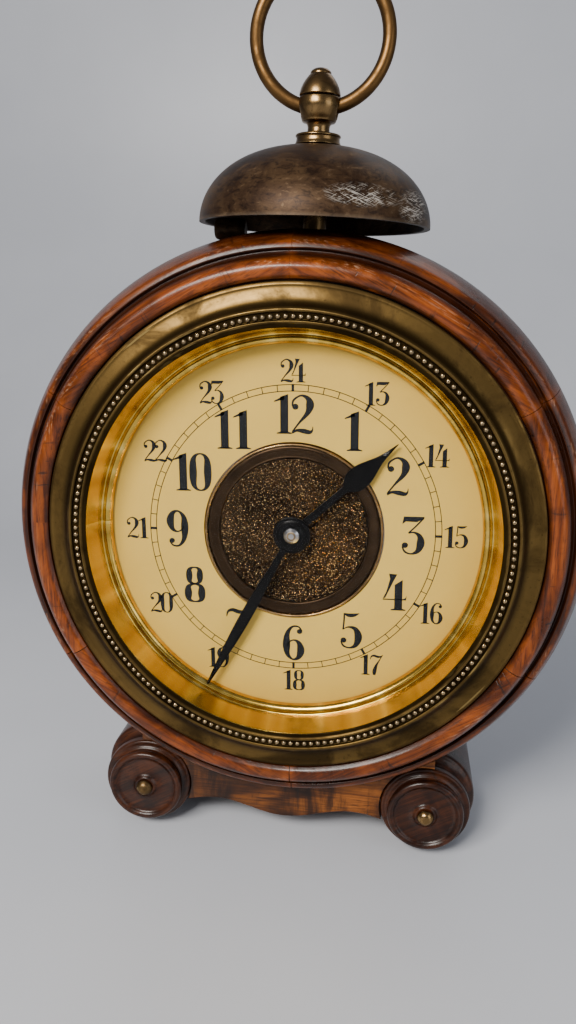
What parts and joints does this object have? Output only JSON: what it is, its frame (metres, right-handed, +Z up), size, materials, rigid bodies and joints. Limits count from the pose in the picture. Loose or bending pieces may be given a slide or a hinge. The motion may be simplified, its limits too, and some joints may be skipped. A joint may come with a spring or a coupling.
{
  "type": "mechanical alarm clock",
  "caption": "Round wooden mantel alarm clock on scroll feet with a numbered dial, spade hands, a bell on top under an acorn finial, and a round carrying ring.",
  "frame": {"origin": "on the table under the middle of the clock's bounding box", "axes": "+X to the viewer's right, +Y from the dial back into the case, +Z up"},
  "size_m": [0.1704, 0.0844, 0.263],
  "materials": {
    "case_wood": "satin french polish over turned mahogany",
    "foot_wood": "dark satin polish",
    "bezel_brass": "aged satin brass",
    "surround_brass": "polished",
    "glass": "clear flat glass",
    "dial_paper": "aged cream printed card",
    "dial_bronze": "dark embossed bronze",
    "hand_blue": "blued black steel",
    "bell_metal": "dark patinated bell metal",
    "finial_brass": "aged brass",
    "movement_brass": "lacquered brass",
    "steel": "bright steel",
    "spring_steel": "blued spring steel",
    "back_brass": "dull brass sheet"
  },
  "bodies": {
    "case": {"case_front_ring": "case_wood", "case_drum": "case_wood", "base_saddle": "case_wood", "left_foot_roll": "foot_wood", "left_foot_rosette": "foot_wood", "left_foot_button": "finial_brass", "right_foot_roll": "foot_wood", "right_foot_rosette": "foot_wood", "right_foot_button": "finial_brass", "bezel": "bezel_brass", "dial_glass": "glass", "dial_surround": "surround_brass", "dial_ring": "dial_paper", "dial_backing": "steel", "dial_centre_disc": "dial_bronze", "movement_front_plate": "movement_brass", "movement_back_plate": "movement_brass", "time_mainspring": "spring_steel", "alarm_mainspring": "spring_steel", "hairspring": "spring_steel", "alarm_dial": "dial_paper", "back_cover": "back_brass", "bell_post": "finial_brass", "bell_post_seat": "finial_brass", "bell_post_nut": "steel", "bell": "bell_metal", "bell_collar": "finial_brass", "finial_cup": "finial_brass", "finial_cap": "finial_brass"},
    "hands_arbor": {"centre_arbor": "steel", "cannon_pinion": "steel", "minute_hand": "hand_blue", "hand_set_knob": "finial_brass"},
    "minute_wheel": {"minute_wheel": "movement_brass"},
    "hour_wheel": {"hour_wheel": "movement_brass", "hour_hand": "hand_blue"},
    "alarm_release_wheel": {"alarm_release_wheel": "movement_brass"},
    "alarm_setting": {"alarm_set_arbor": "steel", "alarm_pointer": "hand_blue", "alarm_set_knob": "finial_brass"},
    "time_winding": {"time_winding_arbor": "steel", "time_key": "finial_brass"},
    "time_great_wheel": {"time_great_wheel": "movement_brass"},
    "centre_wheel": {"centre_wheel": "movement_brass"},
    "third_wheel": {"third_wheel": "movement_brass"},
    "fourth_wheel": {"fourth_wheel": "movement_brass"},
    "escape_wheel": {"escape_wheel": "movement_brass"},
    "pallet_lever": {"pallet_lever": "steel"},
    "balance": {"balance_wheel": "movement_brass"},
    "regulator": {"regulator_lever": "steel"},
    "alarm_winding": {"alarm_winding_arbor": "steel", "alarm_key": "finial_brass"},
    "alarm_great_wheel": {"alarm_great_wheel": "movement_brass"},
    "alarm_escape_wheel": {"alarm_escape_wheel": "movement_brass"},
    "hammer": {"hammer_arbor": "steel", "hammer_head": "bell_metal"},
    "alarm_stop": {"alarm_stop_lever": "steel"},
    "carry_ring": {"carry_ring": "finial_brass"}
  },
  "joints": [
    {"name": "hands_turn", "type": "hinge", "parent": "case", "child": "hands_arbor", "pos_m": [0, -0.00495, 0.1047], "axis": [0, 1, 0], "continuous": true},
    {"name": "minute_wheel_turn", "type": "hinge", "parent": "case", "child": "minute_wheel", "pos_m": [0.0096, -0.02295, 0.08807], "axis": [0, 1, 0], "continuous": true},
    {"name": "hour_turn", "type": "hinge", "parent": "case", "child": "hour_wheel", "pos_m": [0, -0.02695, 0.1047], "axis": [0, 1, 0], "continuous": true},
    {"name": "alarm_release_turn", "type": "hinge", "parent": "case", "child": "alarm_release_wheel", "pos_m": [-0.00795, -0.02595, 0.13437], "axis": [0, 1, 0], "continuous": true},
    {"name": "alarm_set_turn", "type": "hinge", "parent": "case", "child": "alarm_setting", "pos_m": [-0.00795, -0.00495, 0.13437], "axis": [0, 1, 0], "continuous": true},
    {"name": "time_key_turn", "type": "hinge", "parent": "case", "child": "time_winding", "pos_m": [0.02046, -0.00495, 0.09559], "axis": [0, 1, 0], "range_deg": [-720, 720], "deforming": ["time_mainspring"]},
    {"name": "fourth_wheel_turn", "type": "hinge", "parent": "case", "child": "fourth_wheel", "pos_m": [0.01847, -0.00495, 0.1283], "axis": [0, 1, 0], "continuous": true},
    {"name": "third_wheel_turn", "type": "hinge", "parent": "case", "child": "third_wheel", "pos_m": [0.01146, -0.00495, 0.11616], "axis": [0, 1, 0], "continuous": true},
    {"name": "centre_wheel_turn", "type": "hinge", "parent": "case", "child": "centre_wheel", "pos_m": [0, -0.00495, 0.1047], "axis": [0, 1, 0], "continuous": true},
    {"name": "time_great_wheel_turn", "type": "hinge", "parent": "case", "child": "time_great_wheel", "pos_m": [0.02046, -0.01495, 0.09559], "axis": [0, 1, 0], "continuous": true},
    {"name": "escape_wheel_turn", "type": "hinge", "parent": "case", "child": "escape_wheel", "pos_m": [0.03167, -0.00495, 0.13111], "axis": [0, 1, 0], "continuous": true},
    {"name": "pallet_rock", "type": "hinge", "parent": "case", "child": "pallet_lever", "pos_m": [0.02667, -0.00495, 0.13971], "axis": [0, 1, 0], "range_deg": [-4, 4]},
    {"name": "balance_swing", "type": "hinge", "parent": "case", "child": "balance", "pos_m": [0.0145, -0.01095, 0.1462], "axis": [0, 1, 0], "range_deg": [-200, 200], "stiffness_Nm_per_rad": 0.00002, "deforming": ["hairspring"]},
    {"name": "regulator_turn", "type": "hinge", "parent": "case", "child": "regulator", "pos_m": [0.0145, 0.01105, 0.1462], "axis": [0, 1, 0], "range_deg": [-15, 15]},
    {"name": "alarm_key_turn", "type": "hinge", "parent": "case", "child": "alarm_winding", "pos_m": [-0.024, -0.00495, 0.0907], "axis": [0, 1, 0], "range_deg": [-720, 720], "deforming": ["alarm_mainspring"]},
    {"name": "alarm_great_wheel_turn", "type": "hinge", "parent": "case", "child": "alarm_great_wheel", "pos_m": [-0.024, -0.01495, 0.0907], "axis": [0, 1, 0], "continuous": true},
    {"name": "alarm_escape_wheel_turn", "type": "hinge", "parent": "case", "child": "alarm_escape_wheel", "pos_m": [-0.03111, -0.00495, 0.11025], "axis": [0, 1, 0], "continuous": true},
    {"name": "hammer_swing", "type": "hinge", "parent": "case", "child": "hammer", "pos_m": [-0.025, -0.00495, 0.1211], "axis": [0, 1, 0], "range_deg": [-1.3, 2]},
    {"name": "alarm_stop_turn", "type": "hinge", "parent": "case", "child": "alarm_stop", "pos_m": [-0.038, 0.01005, 0.1477], "axis": [0, 1, 0], "range_deg": [-32, 0]},
    {"name": "carry_ring_swing", "type": "hinge", "parent": "case", "child": "carry_ring", "pos_m": [0, -0.00695, 0.2236], "axis": [1, 0, 0], "range_deg": [-100, 100]}
  ],
  "couplings": [
    {"joint": "minute_wheel_turn", "follows": "hands_turn", "ratio": -0.33333},
    {"joint": "hour_turn", "follows": "hands_turn", "ratio": 0.083333},
    {"joint": "alarm_release_turn", "follows": "hands_turn", "ratio": -0.083333},
    {"joint": "third_wheel_turn", "follows": "fourth_wheel_turn", "ratio": -0.13333},
    {"joint": "centre_wheel_turn", "follows": "fourth_wheel_turn", "ratio": 0.016667},
    {"joint": "time_great_wheel_turn", "follows": "fourth_wheel_turn", "ratio": -0.0027778},
    {"joint": "escape_wheel_turn", "follows": "fourth_wheel_turn", "ratio": -8},
    {"joint": "alarm_escape_wheel_turn", "follows": "alarm_great_wheel_turn", "ratio": -5.5}
  ]
}
